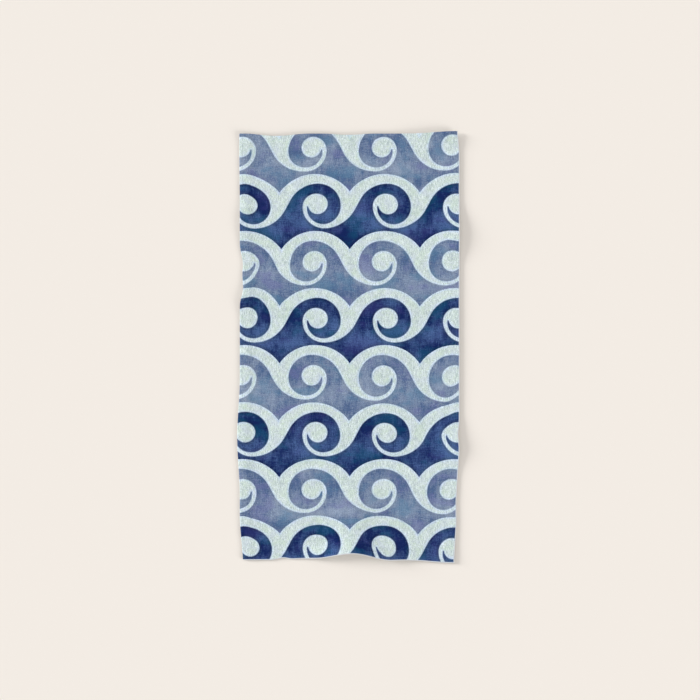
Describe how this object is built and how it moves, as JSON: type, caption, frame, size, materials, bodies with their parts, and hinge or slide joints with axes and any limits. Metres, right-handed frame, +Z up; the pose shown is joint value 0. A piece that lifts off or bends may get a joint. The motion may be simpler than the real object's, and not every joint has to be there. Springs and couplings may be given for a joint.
{
  "type": "bath towel",
  "caption": "Printed cotton bath towel laid out flat, with wavy hems, lifted edges and a soft fold at one end.",
  "frame": {"origin": "on the surface the towel lies on, under the middle of its box", "axes": "+Z up out of the printed face, +Y along the towel's length towards the end with the light row of waves, +X across it to the right"},
  "size_m": [0.7144, 1.3864, 0.0299],
  "materials": {
    "printed_towelling": "matte printed towelling, running wave scrolls in navy and steel blue on pale mint"
  },
  "bodies": {
    "root": {"towel": "printed_towelling"}
  },
  "joints": []
}
